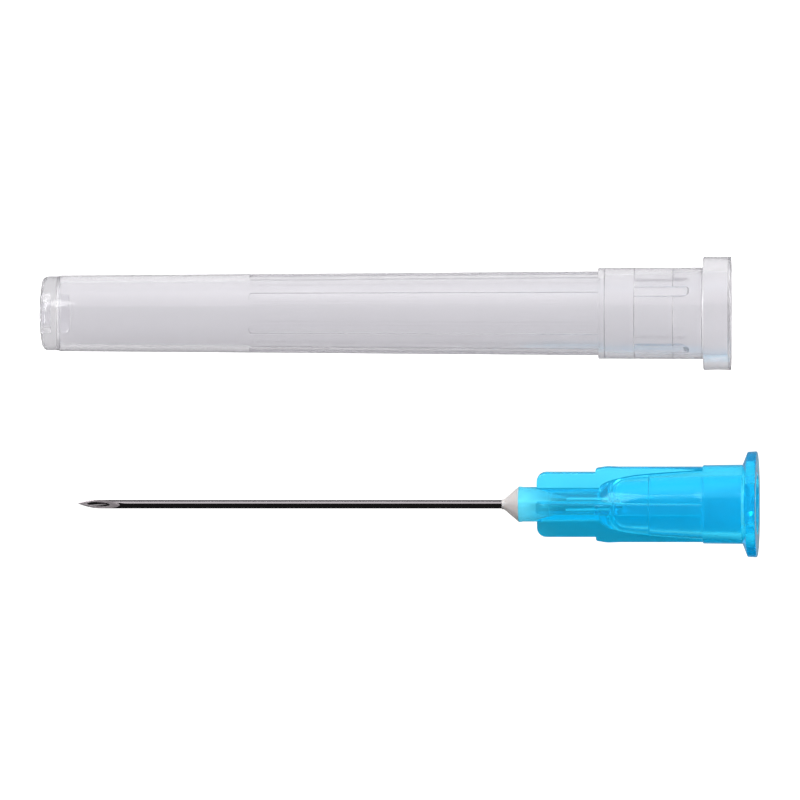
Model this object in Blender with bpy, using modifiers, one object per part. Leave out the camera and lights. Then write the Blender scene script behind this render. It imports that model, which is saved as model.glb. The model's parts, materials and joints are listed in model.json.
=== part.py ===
"""A hypodermic needle with its protective cap taken off, both lying on a flat surface.

Metres, +Z up. The needle points along -X and the cap lies beside it on the +Y side, mouth towards +X.
Each piece is turned about its own local Z, which runs from the needle's point or the cap's closed end
towards +X. Local -X is the side that faces up, and the needle's z = 0 is the front face of the hub.
"""

import math

import bmesh
import bpy
import numpy as np
from mathutils import Matrix, Vector

MM = 0.001

# Facets
HUB_FACETS = 48
CANNULA_FACETS = 32
CAP_FACETS = 48
FILLET_STEPS = 3
DOME_STEPS = 8
CROWN_STEPS = 4
RIB_NOSE_STEPS = 4
MERGE = 1e-7

# Cannula
CANNULA_RADIUS = 0.315 * MM
CANNULA_BORE_RADIUS = 0.165 * MM
CANNULA_REACH = 32.31 * MM  # from its point to the hub's front face
CANNULA_ENTRY = 0.74 * MM  # how far its rear end stands in the hub's chamber

# Three-faced point
BEVEL_LENGTH = 3.15 * MM
LANCET_LENGTH = 1.45 * MM
LANCET_TURN = math.radians(35)
POINT_THICKNESS = 0.01 * MM
POINT_ROLL = math.radians(11)

# Hub, from its nose to its rear
NOSE_RADIUS = 1.27 * MM
NOSE_RIM_STAND = 0.03 * MM
NOSE_RIM_LENGTH = 0.22 * MM
NOSE_WALL = 0.28 * MM
NOSE_LENGTH = 5.9 * MM  # to the foot of the dome
DOME_LENGTH = 3.55 * MM
CHAMBER_FRONT_WALL = 0.74 * MM  # from the dome's foot to the chamber
CHAMBER_LENGTH = 2.92 * MM
CHAMBER_STEP = 0.19 * MM
CHAMBER_DRAFT = 0.1 * MM
CHAMBER_NOSE_RADIUS = 0.6 * MM
CHAMBER_DOME_LENGTH = 1.2 * MM
SOCKET_MOUTH_RADIUS = 2.15 * MM
SOCKET_DEPTH = 7.87 * MM
SOCKET_TAPER = 0.06  # of diameter on length
SOCKET_LEAD_IN = 0.12 * MM
BODY_WALL_FRONT = 0.375 * MM
BODY_WALL_REAR = 0.535 * MM
COLLAR_LENGTH = 2.93 * MM
COLLAR_WALL = 0.715 * MM
COLLAR_DRAFT = 0.035 * MM

# Hub's flange, a disc with two flats that leave two lugs
FLANGE_THICKNESS = 1.03 * MM
FLANGE_STAND = 0.98 * MM
FLANGE_FLAT_STAND = 0.625 * MM
FLANGE_FACE_STAND = 0.11 * MM
FLANGE_SLANT = 0.33 * MM
FLANGE_EDGE_DRAFT = 0.04 * MM
FLANGE_FILLET = 0.06 * MM

# Hub's four fins
FIN_THICKNESS = 0.85 * MM
FIN_SETBACK = 1.31 * MM  # behind the hub's front face
FIN_STAND = 0.19 * MM  # beyond the body where it meets the collar
FIN_STEP_HEIGHT = 0.382 * MM
FIN_STEP_LEAD = 0.28 * MM  # ahead of the dome's foot
FIN_STEP_EASE = 0.1 * MM  # by which the step's top starts low
FIN_BUMP = 0.04 * MM
FIN_BUMP_LENGTH = 0.85 * MM  # of its rise, and of its fall
FIN_CORNER = 0.68 * MM
FIN_STEP_CORNER = 0.2 * MM
FIN_BUMP_FILLET = 2.0 * MM
FIN_ROLL = math.radians(9)

# Adhesive, a plug in the nose and a bead in front of it
GLUE_GAP = 0.02 * MM
WELL_DEPTH = 3.5 * MM
BEAD_CONE_LENGTH = 1.09 * MM
BEAD_TOE_LENGTH = 0.16 * MM
BEAD_TOE_THICKNESS = 0.025 * MM
BEAD_TOE_FILLET = 0.6 * MM
BEAD_EDGE_FILLET = 0.02 * MM

# Protective cap, which fits over the fins and stops short of the flange
CAP_END_WALL = 1.34 * MM
GATE_RADIUS = 1.0 * MM
GATE_WALL = 0.41 * MM
GATE_BOSS_HEIGHT = 1.07 * MM
GATE_DEPTH = 0.95 * MM
POINT_CLEARANCE = 0.6 * MM
CAP_SEAT_GAP = 1.22 * MM  # from its mouth to the flange when it is on
CAP_WALL = 0.5 * MM
CAP_DRAFT = 0.0077  # of radius on length
CAP_NOSE_CLEARANCE = 0.2 * MM
CAP_SHOULDER_CLEARANCE = 0.36 * MM
CAP_FIN_CLEARANCE = 0.05 * MM
CAP_RIB_CLEARANCE = 0.1 * MM
CAP_RIB_BORE_STEP = 0.06 * MM
CAP_COLLAR_CLEARANCE = 0.1 * MM
CAP_COLLAR_DEPTH = 4.2 * MM  # of the bore for the collar, from the mouth
CAP_COLLAR_LEAD = 0.54 * MM
CAP_COLLAR_LEAD_RISE = 0.03 * MM
CAP_MOUTH_STEP = 0.08 * MM
CAP_MOUTH_LEAD_IN = 0.25 * MM
CAP_END_CORNER = 0.5 * MM
CAP_END_CROWN = 0.26 * MM
CAP_END_STEP = 0.054 * MM
CAP_END_BAND = 1.4 * MM
CAP_STEP_LENGTH = 0.18 * MM
CAP_WIDE_WALL = 0.35 * MM
CAP_WIDE_CORNER = 0.06 * MM
CAP_FLANGE_THICKNESS = 2.04 * MM
CAP_FLANGE_STAND = 0.8 * MM
CAP_FLANGE_WAIST = 0.03 * MM
CAP_FLANGE_CORNER = 0.12 * MM

# Cap's flutes outside and ribs inside
FLUTE_COUNT = 8
FLUTE_WIDTH = 0.84 * MM
FLUTE_DEPTH = 0.12 * MM
FLUTE_LENGTH = 25.4 * MM
FLUTE_CORNER = 0.22 * MM
RIB_COUNT = 4
RIB_ROLL = math.radians(32)
RIB_WIDTH = 0.72 * MM
RIB_SETBACK = 2.18 * MM  # behind the shoulder that stops the fins
RIB_LENGTH = 4.04 * MM
RIB_NOSE_LENGTH = 0.85 * MM

# How the two lie
AXIS_SPACING = 13.935 * MM
CAP_SET_BACK = 2.03 * MM

# Places along the hub
DOME_END = NOSE_LENGTH + DOME_LENGTH
CHAMBER_FRONT = NOSE_LENGTH + CHAMBER_FRONT_WALL
SOCKET_FLOOR = CHAMBER_FRONT + CHAMBER_LENGTH
CHAMBER_DOME_END = CHAMBER_FRONT + CHAMBER_DOME_LENGTH
HUB_LENGTH = SOCKET_FLOOR + SOCKET_DEPTH
FLANGE_FRONT = HUB_LENGTH - FLANGE_THICKNESS
COLLAR_FRONT = FLANGE_FRONT - COLLAR_LENGTH
FIN_STEP = NOSE_LENGTH - FIN_STEP_LEAD

# Radii of the hub
SOCKET_SLOPE = SOCKET_TAPER / 2
SOCKET_FLOOR_RADIUS = SOCKET_MOUTH_RADIUS - SOCKET_SLOPE * SOCKET_DEPTH
CHAMBER_RADIUS = SOCKET_FLOOR_RADIUS - CHAMBER_STEP
BODY_FRONT_RADIUS = SOCKET_FLOOR_RADIUS + BODY_WALL_FRONT
SOCKET_RADIUS_AT_COLLAR = SOCKET_MOUTH_RADIUS - SOCKET_SLOPE * (HUB_LENGTH - COLLAR_FRONT)
BODY_REAR_RADIUS = SOCKET_RADIUS_AT_COLLAR + BODY_WALL_REAR
COLLAR_RADIUS = SOCKET_MOUTH_RADIUS + COLLAR_WALL
COLLAR_REAR_RADIUS = COLLAR_RADIUS + COLLAR_DRAFT
FLANGE_RADIUS = COLLAR_REAR_RADIUS + FLANGE_STAND
FLAT_DISTANCE = COLLAR_REAR_RADIUS + FLANGE_FLAT_STAND
FIN_RADIUS = BODY_REAR_RADIUS + FIN_STAND
FIN_FRONT_RADIUS = FIN_RADIUS - FIN_STEP_HEIGHT
BORE_RADIUS = CANNULA_RADIUS + GLUE_GAP
WELL_RADIUS = NOSE_RADIUS - NOSE_WALL
WELL_FLOOR_RADIUS = BORE_RADIUS + GLUE_GAP

# Places along the cap, with the needle's as they are when it is on
CAP_NOSE = CAP_END_WALL + GATE_BOSS_HEIGHT + POINT_CLEARANCE + CANNULA_REACH
CAP_LENGTH = CAP_NOSE + FLANGE_FRONT - CAP_SEAT_GAP
CAP_SHOULDER = CAP_NOSE + FIN_STEP + CAP_SHOULDER_CLEARANCE
CAP_WIDE_FRONT = CAP_SHOULDER - CAP_WALL
CAP_FLANGE_FRONT = CAP_LENGTH - CAP_FLANGE_THICKNESS
RIB_FRONT = CAP_SHOULDER + RIB_SETBACK
CAP_COLLAR_FRONT = CAP_LENGTH - CAP_COLLAR_DEPTH

# Radii of the cap
CAP_NOSE_BORE = FIN_FRONT_RADIUS + CAP_NOSE_CLEARANCE
CAP_FIN_BORE = FIN_RADIUS + FIN_BUMP + CAP_FIN_CLEARANCE
CAP_RIB_BORE = CAP_FIN_BORE + CAP_RIB_BORE_STEP
CAP_COLLAR_BORE = max(COLLAR_REAR_RADIUS, FIN_RADIUS) + CAP_COLLAR_CLEARANCE
CAP_MOUTH_BORE = CAP_COLLAR_BORE + CAP_MOUTH_STEP
RIB_INNER_RADIUS = BODY_REAR_RADIUS + CAP_RIB_CLEARANCE
CAP_NARROW_RADIUS = CAP_NOSE_BORE + CAP_WALL
CAP_WIDE_RADIUS = CAP_COLLAR_BORE + CAP_WIDE_WALL
CAP_FLANGE_RADIUS = CAP_WIDE_RADIUS + CAP_FLANGE_STAND

OVERSHOOT = 0.5 * MM  # how far a cutter runs past what it cuts


def rounded(corners):
    """The points of an outline whose corners are (x, y, fillet radius), each fillet an arc.

    A fillet shrinks where the sides that meet at its corner are too short for it.
    """
    points = []
    for i, (x, y, fillet) in enumerate(corners):
        corner = Vector((x, y))
        before = Vector(corners[i - 1][:2]) - corner
        after = Vector(corners[(i + 1) % len(corners)][:2]) - corner
        turn = before.angle(after) if fillet else math.pi
        if math.pi - turn < 0.01:
            points.append((x, y))
            continue
        half = turn / 2
        reach = min(fillet / math.tan(half), 0.48 * before.length, 0.48 * after.length)
        middle = (before.normalized() + after.normalized()).normalized()
        centre = corner + middle * reach / math.cos(half)
        start = corner + before.normalized() * reach - centre
        end = corner + after.normalized() * reach - centre
        sweep = start.angle_signed(end)
        for step in range(FILLET_STEPS + 1):
            arm = start.copy()
            arm.rotate(Matrix.Rotation(-sweep * step / FILLET_STEPS, 2))
            points.append(tuple(centre + arm))
    return points


def place(obj, collection, parent):
    collection.objects.link(obj)
    obj.parent = parent
    return obj


def turned(name, outline, facets, collection, parent):
    """A piece turned about local Z from (radius, z) points that run down its outer side and close."""
    mesh = bpy.data.meshes.new(name)
    count = len(outline)
    edges = [(i, (i + 1) % count) for i in range(count)]
    if outline[0][0] == 0 and outline[-1][0] == 0:
        edges.pop()
    mesh.from_pydata([(radius, 0, z) for radius, z in outline], edges, [])
    obj = place(bpy.data.objects.new(name, mesh), collection, parent)
    screw = obj.modifiers.new("Turn", "SCREW")
    screw.steps = screw.render_steps = facets
    screw.use_merge_vertices = True
    screw.merge_threshold = MERGE
    screw.use_smooth_shade = True
    return obj


def plate(name, outline, thickness, collection, parent):
    """A flat plate from (x, z) points, its thickness shared to both sides of local y = 0."""
    mesh = bpy.data.meshes.new(name)
    mesh.from_pydata([(x, 0, z) for x, z in outline], [], [range(len(outline))])
    obj = place(bpy.data.objects.new(name, mesh), collection, parent)
    solidify = obj.modifiers.new("Thickness", "SOLIDIFY")
    solidify.thickness = thickness
    solidify.offset = 0
    return obj


def block(name, size, matrix, collection, parent):
    """A box of the given size, centred in the matrix's own space."""
    bm = bmesh.new()
    bmesh.ops.create_cube(bm, size=1, matrix=matrix @ Matrix.Diagonal((*size, 1)))
    mesh = bpy.data.meshes.new(name)
    bm.to_mesh(mesh)
    bm.free()
    return place(bpy.data.objects.new(name, mesh), collection, parent)


def combine(obj, operation, *others):
    """Cuts others from the object, or joins them to it."""
    for other in others:
        boolean = obj.modifiers.new(f"{operation.title()} {other.name}", "BOOLEAN")
        boolean.operation = operation
        boolean.solver = "EXACT"
        boolean.object = other
        other.hide_render = True
        other.display_type = "WIRE"


def finish(obj, material):
    """Gives the piece its material, and normals that favour its large faces."""
    obj.data.materials.append(material)
    normals = obj.modifiers.new("Normals", "WEIGHTED_NORMAL")
    normals.keep_sharp = True


def plastic(name, colour, roughness, transmission):
    material = bpy.data.materials.new(name)
    material.use_nodes = True
    shader = material.node_tree.nodes["Principled BSDF"]
    shader.inputs["Base Color"].default_value = (*colour, 1)
    shader.inputs["Roughness"].default_value = roughness
    shader.inputs["Transmission Weight"].default_value = transmission
    material.diffuse_color = (*colour, 1)
    return material


def steel(name):
    material = plastic(name, (0.62, 0.61, 0.6), 0.25, 0)
    material.node_tree.nodes["Principled BSDF"].inputs["Metallic"].default_value = 1
    material.metallic = 1
    return material


def grinding_block(name, turn, slope, collection, parent):
    """A block whose face grinds one facet of the point.

    The facet passes through the point's edge and leans back by slope, the z that it gains for each
    unit across the tube. turn is its angle about the axis from the main bevel.
    """
    across = Vector((math.cos(turn), math.sin(turn), 1 / slope)).normalized()
    edge = Vector((CANNULA_RADIUS - POINT_THICKNESS, 0, -CANNULA_REACH))
    size = 2 * BEVEL_LENGTH
    matrix = (
        Matrix.Rotation(POINT_ROLL, 4, "Z")
        @ Matrix.Translation(edge)
        @ (-across).to_track_quat("Z", "Y").to_matrix().to_4x4()
        @ Matrix.Translation((0, 0, size / 2))
    )
    return block(name, (size, size, size), matrix, collection, parent)


def make_cannula(parts, cutters, axis):
    """A steel tube with a main bevel and two lancet facets ground into its point."""
    rear = CHAMBER_FRONT + CANNULA_ENTRY
    outline = [
        (CANNULA_BORE_RADIUS, rear),
        (CANNULA_RADIUS, rear),
        (CANNULA_RADIUS, -CANNULA_REACH),
        (CANNULA_BORE_RADIUS, -CANNULA_REACH),
    ]
    cannula = turned("cannula", outline, CANNULA_FACETS, parts, axis)
    width = 2 * CANNULA_RADIUS
    bevel_slope = BEVEL_LENGTH / width
    drop = width * LANCET_LENGTH / BEVEL_LENGTH
    side = math.sqrt(max(CANNULA_RADIUS**2 - (CANNULA_RADIUS - drop) ** 2, 0))
    lancet_slope = LANCET_LENGTH / (drop * math.cos(LANCET_TURN) + side * math.sin(LANCET_TURN))
    combine(
        cannula,
        "DIFFERENCE",
        grinding_block("bevel_block", 0, bevel_slope, cutters, axis),
        grinding_block("left_lancet_block", LANCET_TURN, lancet_slope, cutters, axis),
        grinding_block("right_lancet_block", -LANCET_TURN, lancet_slope, cutters, axis),
    )
    return cannula


def drafted(start, end, start_radius, end_radius):
    """The radius at any z of a straight draft between two places."""
    slope = (end_radius - start_radius) / (end - start)
    return lambda z: start_radius + slope * (z - start)


def dome(front, rear, front_radius, radius_at, steps):
    """Corners of a rounded end, from its rear, where it runs on from the draft, to its front."""
    corners = []
    for step in range(steps + 1):
        angle = math.pi / 2 * step / steps
        z = rear - (rear - front) * math.sin(angle)
        corners.append((front_radius + (radius_at(z) - front_radius) * math.cos(angle), z, 0))
    return corners


def make_hub_blank(parts, axis):
    """The solid body, from the flange at the rear to the nose at the front."""
    body_radius = drafted(SOCKET_FLOOR, COLLAR_FRONT, BODY_FRONT_RADIUS, BODY_REAR_RADIUS)
    corners = [
        (0, HUB_LENGTH, 0),
        (FLANGE_RADIUS, HUB_LENGTH, FLANGE_FILLET),
        (FLANGE_RADIUS - FLANGE_EDGE_DRAFT, FLANGE_FRONT + FLANGE_SLANT, FLANGE_FILLET),
        (COLLAR_REAR_RADIUS + FLANGE_FACE_STAND, FLANGE_FRONT, 0),
        (COLLAR_REAR_RADIUS, FLANGE_FRONT, 0),
        (COLLAR_RADIUS, COLLAR_FRONT, 0),
        (BODY_REAR_RADIUS, COLLAR_FRONT, 0),
        *dome(NOSE_LENGTH, DOME_END, NOSE_RADIUS, body_radius, DOME_STEPS),
        (NOSE_RADIUS, NOSE_RIM_LENGTH, 0),
        (NOSE_RADIUS + NOSE_RIM_STAND, NOSE_RIM_LENGTH, 0),
        (NOSE_RADIUS + NOSE_RIM_STAND, 0, 0),
        (0, 0, 0),
    ]
    return turned("needle_hub", rounded(corners), HUB_FACETS, parts, axis)


def fin_pair(name, roll, cutters, axis):
    """One plate through the axis, whose two ends are opposite fins."""
    bump = FIN_STEP + FIN_BUMP_LENGTH
    rear = COLLAR_FRONT + COLLAR_LENGTH / 2
    side = [
        (FIN_FRONT_RADIUS, FIN_SETBACK, FIN_CORNER),
        (FIN_FRONT_RADIUS, FIN_STEP, 0),
        (FIN_RADIUS - FIN_STEP_EASE, FIN_STEP, FIN_STEP_CORNER),
        (FIN_RADIUS + FIN_BUMP, bump, FIN_BUMP_FILLET),
        (FIN_RADIUS, bump + FIN_BUMP_LENGTH, 0),
        (FIN_RADIUS, rear, 0),
    ]
    mirrored = [(-x, z, fillet) for x, z, fillet in reversed(side)]
    fins = plate(name, rounded(side + mirrored), FIN_THICKNESS, cutters, axis)
    fins.rotation_euler.z = roll
    return fins


def flat_block(name, side, cutters, axis):
    """Cuts the flange to a flat on one side."""
    height = FLANGE_RADIUS - FLAT_DISTANCE + OVERSHOOT
    length = FLANGE_THICKNESS + OVERSHOOT
    centre = Vector((side * (FLAT_DISTANCE + height / 2), 0, FLANGE_FRONT + length / 2))
    size = (height, 2 * FLANGE_RADIUS + OVERSHOOT, length)
    return block(name, size, Matrix.Translation(centre), cutters, axis)


def bore_cutter(cutters, axis):
    """The hollow of the hub: socket, chamber, cannula bore and the well for the adhesive."""
    mouth = HUB_LENGTH - SOCKET_LEAD_IN
    past_rear = HUB_LENGTH + OVERSHOOT
    past_front = -OVERSHOOT
    chamber_radius = drafted(CHAMBER_FRONT, SOCKET_FLOOR, CHAMBER_RADIUS - CHAMBER_DRAFT, CHAMBER_RADIUS)
    corners = [
        (0, past_rear, 0),
        (SOCKET_MOUTH_RADIUS + SOCKET_LEAD_IN + OVERSHOOT, past_rear, 0),
        (SOCKET_MOUTH_RADIUS, mouth, 0),
        (SOCKET_FLOOR_RADIUS, SOCKET_FLOOR, 0),
        (CHAMBER_RADIUS, SOCKET_FLOOR, 0),
        *dome(CHAMBER_FRONT, CHAMBER_DOME_END, CHAMBER_NOSE_RADIUS, chamber_radius, DOME_STEPS),
        (BORE_RADIUS, CHAMBER_FRONT, 0),
        (BORE_RADIUS, WELL_DEPTH, 0),
        (WELL_FLOOR_RADIUS, WELL_DEPTH, 0),
        (WELL_RADIUS, 0, 0),
        (WELL_RADIUS, past_front, 0),
        (0, past_front, 0),
    ]
    return turned("bore_cutter", rounded(corners), HUB_FACETS, cutters, axis)


def make_hub(parts, cutters, axis):
    hub = make_hub_blank(parts, axis)
    fins = [
        fin_pair("upright_fins", FIN_ROLL, cutters, axis),
        fin_pair("level_fins", FIN_ROLL + math.pi / 2, cutters, axis),
    ]
    flats = [
        flat_block("upper_flat_block", -1, cutters, axis),
        flat_block("lower_flat_block", 1, cutters, axis),
    ]
    combine(hub, "UNION", *fins)
    combine(hub, "DIFFERENCE", *flats, bore_cutter(cutters, axis))
    return hub


def make_adhesive(parts, axis):
    """The plug that fills the well, and the bead that runs from the nose down to the cannula."""
    toe_radius = BORE_RADIUS + BEAD_TOE_THICKNESS
    bead_radius = NOSE_RADIUS + NOSE_RIM_STAND
    toe = -GLUE_GAP - BEAD_CONE_LENGTH
    corners = [
        (BORE_RADIUS, WELL_DEPTH - GLUE_GAP, 0),
        (WELL_FLOOR_RADIUS, WELL_DEPTH - GLUE_GAP - MERGE, 0),
        (WELL_RADIUS - GLUE_GAP, GLUE_GAP, 0),
        (WELL_RADIUS - GLUE_GAP, -GLUE_GAP, 0),
        (bead_radius, -GLUE_GAP, BEAD_EDGE_FILLET),
        (toe_radius, toe, BEAD_TOE_FILLET),
        (toe_radius, toe - BEAD_TOE_LENGTH, 0),
        (BORE_RADIUS, toe - BEAD_TOE_LENGTH, 0),
    ]
    return turned("adhesive", rounded(corners), HUB_FACETS, parts, axis)


def cap_radius(z):
    """The outer radius of the cap's narrow, drafted length."""
    return CAP_NARROW_RADIUS - CAP_DRAFT * (CAP_WIDE_FRONT - z)


def crown():
    """Corners of the closed end's slightly domed face, from its rim to the moulding gate's recess."""
    rim = cap_radius(0) - CAP_END_STEP
    radii = [rim + (GATE_RADIUS - rim) * step / CROWN_STEPS for step in range(CROWN_STEPS + 1)]
    corners = [(radius, CAP_END_CROWN * (radius / rim) ** 2, 0) for radius in radii]
    corners[0] = (*corners[0][:2], CAP_END_CORNER)
    return corners


def make_cap_blank(parts, axis):
    """The narrow length as a solid, with the moulding gate's recess in its closed end."""
    inside = CAP_WIDE_FRONT + CAP_WALL / 2
    step_end = CAP_END_BAND + CAP_STEP_LENGTH
    corners = [
        (0, inside, 0),
        (cap_radius(inside), inside, 0),
        (cap_radius(step_end), step_end, 0),
        (cap_radius(CAP_END_BAND) - CAP_END_STEP, CAP_END_BAND, 0),
        *crown(),
        (GATE_RADIUS, GATE_DEPTH, 0),
        (0, GATE_DEPTH, 0),
    ]
    return turned("protective_cap", rounded(corners), CAP_FACETS, parts, axis)


def wide_part(cutters, axis):
    """The wide length and the mouth flange as a solid."""
    flange_middle = CAP_FLANGE_FRONT + CAP_FLANGE_THICKNESS / 2
    corners = [
        (0, CAP_LENGTH, 0),
        (CAP_FLANGE_RADIUS, CAP_LENGTH, CAP_FLANGE_CORNER / 2),
        (CAP_FLANGE_RADIUS - CAP_FLANGE_WAIST, flange_middle, 0),
        (CAP_FLANGE_RADIUS, CAP_FLANGE_FRONT, CAP_FLANGE_CORNER),
        (CAP_WIDE_RADIUS, CAP_FLANGE_FRONT, 0),
        (CAP_WIDE_RADIUS - CAP_FLANGE_WAIST, CAP_WIDE_FRONT, CAP_WIDE_CORNER),
        (0, CAP_WIDE_FRONT, 0),
    ]
    return turned("wide_part", rounded(corners), CAP_FACETS, cutters, axis)


def flute_plate(index, cutters, axis):
    """A long plate with round front corners that leaves a flat flute, level with the cap's draft."""
    angle = 2 * math.pi * (index + 0.5) / FLUTE_COUNT
    front = CAP_WIDE_FRONT - FLUTE_LENGTH
    rear = CAP_WIDE_FRONT + CAP_WALL / 4
    middle = (front + rear) / 2
    height = FLUTE_DEPTH + OVERSHOOT
    corners = [
        (FLUTE_WIDTH / 2, front - middle, FLUTE_CORNER),
        (-FLUTE_WIDTH / 2, front - middle, FLUTE_CORNER),
        (-FLUTE_WIDTH / 2, rear - middle, 0),
        (FLUTE_WIDTH / 2, rear - middle, 0),
    ]
    flute = plate(f"flute_plate_{index}", rounded(corners), height, cutters, axis)
    flute.matrix_basis = (
        Matrix.Rotation(angle, 4, "Z")
        @ Matrix.Translation((cap_radius(middle) - FLUTE_DEPTH, 0, middle))
        @ Matrix.Rotation(math.atan(CAP_DRAFT), 4, "Y")
        @ Matrix.Translation((height / 2, 0, 0))
        @ Matrix.Rotation(math.pi / 2, 4, "Z")
    )
    return flute


def cap_bore(cutters, axis):
    """The hollow of the cap, which passes round the boss behind the moulding gate."""
    boss_radius = GATE_RADIUS + GATE_WALL
    boss_top = CAP_END_WALL + GATE_BOSS_HEIGHT
    past_mouth = CAP_LENGTH + OVERSHOOT
    corners = [
        (0, past_mouth, 0),
        (CAP_MOUTH_BORE + CAP_MOUTH_LEAD_IN + OVERSHOOT, past_mouth, 0),
        (CAP_MOUTH_BORE, CAP_LENGTH - CAP_MOUTH_LEAD_IN, 0),
        (CAP_MOUTH_BORE, CAP_FLANGE_FRONT, 0),
        (CAP_COLLAR_BORE, CAP_FLANGE_FRONT - CAP_MOUTH_STEP, 0),
        (CAP_COLLAR_BORE, CAP_COLLAR_FRONT, 0),
        (CAP_RIB_BORE + CAP_COLLAR_LEAD_RISE, CAP_COLLAR_FRONT, 0),
        (CAP_RIB_BORE, CAP_COLLAR_FRONT - CAP_COLLAR_LEAD, 0),
        (CAP_RIB_BORE, RIB_FRONT, 0),
        (CAP_FIN_BORE, RIB_FRONT, 0),
        (CAP_FIN_BORE, CAP_SHOULDER, 0),
        (CAP_NOSE_BORE, CAP_SHOULDER, 0),
        (cap_radius(CAP_END_WALL) - CAP_WALL, CAP_END_WALL, CAP_END_CORNER),
        (boss_radius, CAP_END_WALL, GATE_WALL / 2),
        (boss_radius, boss_top, GATE_WALL),
        (0, boss_top, 0),
    ]
    return turned("cap_bore", rounded(corners), CAP_FACETS, cutters, axis)


def rib(index, cutters, axis):
    """A rib in the bore that runs between two fins and slopes off in a round nose towards the mouth."""
    outer = CAP_COLLAR_BORE + CAP_WIDE_WALL / 2
    rear = RIB_FRONT + RIB_LENGTH
    corners = [(outer, RIB_FRONT, 0), (RIB_INNER_RADIUS, RIB_FRONT, 0)]
    for step in range(RIB_NOSE_STEPS + 1):
        angle = math.pi / 2 * step / RIB_NOSE_STEPS
        out = outer - (outer - RIB_INNER_RADIUS) * math.cos(angle)
        corners.append((out, rear - RIB_NOSE_LENGTH * (1 - math.sin(angle)), 0))
    obj = plate(f"rib_{index}", rounded(corners), RIB_WIDTH, cutters, axis)
    obj.rotation_euler.z = math.pi - RIB_ROLL + 2 * math.pi * index / RIB_COUNT
    return obj


def make_cap(parts, cutters, axis):
    cap = make_cap_blank(parts, axis)
    combine(cap, "DIFFERENCE", *[flute_plate(i, cutters, axis) for i in range(FLUTE_COUNT)])
    combine(cap, "UNION", wide_part(cutters, axis))
    bore = cap_bore(cutters, axis)
    combine(bore, "DIFFERENCE", *[rib(i, cutters, axis) for i in range(RIB_COUNT)])
    combine(cap, "DIFFERENCE", bore)
    return cap


def level_axis(name, y, parts):
    """An empty that carries a piece's local Z along +X, level."""
    axis = place(bpy.data.objects.new(name, None), parts, None)
    axis.empty_display_size = CAP_FLANGE_RADIUS
    axis.rotation_euler.y = math.pi / 2
    axis.location.y = y
    return axis


def points_of(objects):
    """Every point of the objects' final meshes, in world space."""
    bpy.context.view_layer.update()
    graph = bpy.context.evaluated_depsgraph_get()
    found = []
    for obj in objects:
        final = obj.evaluated_get(graph)
        found += [final.matrix_world @ vertex.co for vertex in final.to_mesh().vertices]
        final.to_mesh_clear()
    return np.array(found)


def pitch_at_rest(pieces):
    """How far a level piece tips when it is laid on the floor, about an axis across it.

    It comes to lie on the edge of its lower outline that passes under the middle of its length.
    """
    side_view = sorted({(x, z) for x, _, z in points_of(pieces).tolist()})
    lower = []
    for x, z in side_view:
        while len(lower) > 1:
            (x0, z0), (x1, z1) = lower[-2:]
            if (x1 - x0) * (z - z0) > (z1 - z0) * (x - x0):
                break
            lower.pop()
        lower.append((x, z))
    middle = (side_view[0][0] + side_view[-1][0]) / 2
    for (x0, z0), (x1, z1) in zip(lower, lower[1:]):
        if x0 <= middle <= x1:
            return math.atan2(z0 - z1, x1 - x0)
    return 0


def lay_down(needle_axis, needle, cap_axis, cap):
    """Lays both on the floor, the cap set back from the hub's rear, and centres them on the origin."""
    for axis, pieces in ((needle_axis, needle), (cap_axis, cap)):
        axis.rotation_euler.y -= pitch_at_rest(pieces)
    needle_points, cap_points = points_of(needle), points_of(cap)
    needle_axis.location.z -= needle_points[:, 2].min()
    cap_axis.location.z -= cap_points[:, 2].min()
    cap_shift = needle_points[:, 0].max() - CAP_SET_BACK - cap_points[:, 0].max()
    cap_axis.location.x += cap_shift
    cap_points[:, 0] += cap_shift
    points = np.concatenate([needle_points, cap_points])
    centre = (points.min(axis=0) + points.max(axis=0)) / 2
    for axis in (needle_axis, cap_axis):
        axis.location.x -= centre[0]
        axis.location.y -= centre[1]
    bpy.context.view_layer.update()


def main():
    for obj in list(bpy.data.objects):
        bpy.data.objects.remove(obj)
    parts = bpy.data.collections.new("hypodermic_needle")
    cutters = bpy.data.collections.new("cutters")
    for collection in (parts, cutters):
        bpy.context.scene.collection.children.link(collection)
    cutters.hide_render = True

    needle_axis = level_axis("needle_axis", -AXIS_SPACING / 2, parts)
    cap_axis = level_axis("cap_axis", AXIS_SPACING / 2, parts)
    hub = make_hub(parts, cutters, needle_axis)
    cannula = make_cannula(parts, cutters, needle_axis)
    adhesive = make_adhesive(parts, needle_axis)
    cap = make_cap(parts, cutters, cap_axis)
    lay_down(needle_axis, [hub, cannula, adhesive], cap_axis, [cap])

    finish(hub, plastic("blue_polypropylene", (0.02, 0.5, 0.82), 0.25, 0.6))
    finish(cannula, steel("stainless_steel"))
    finish(adhesive, plastic("epoxy", (0.78, 0.77, 0.76), 0.4, 0.1))
    finish(cap, plastic("clear_polypropylene", (0.88, 0.89, 0.91), 0.3, 0.7))


main()
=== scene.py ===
"""Looks of the hypodermic needle and its protective cap: shapes, materials, light and camera."""

import json
import math

import bmesh
import bpy
from mathutils import Matrix, Vector, noise


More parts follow.
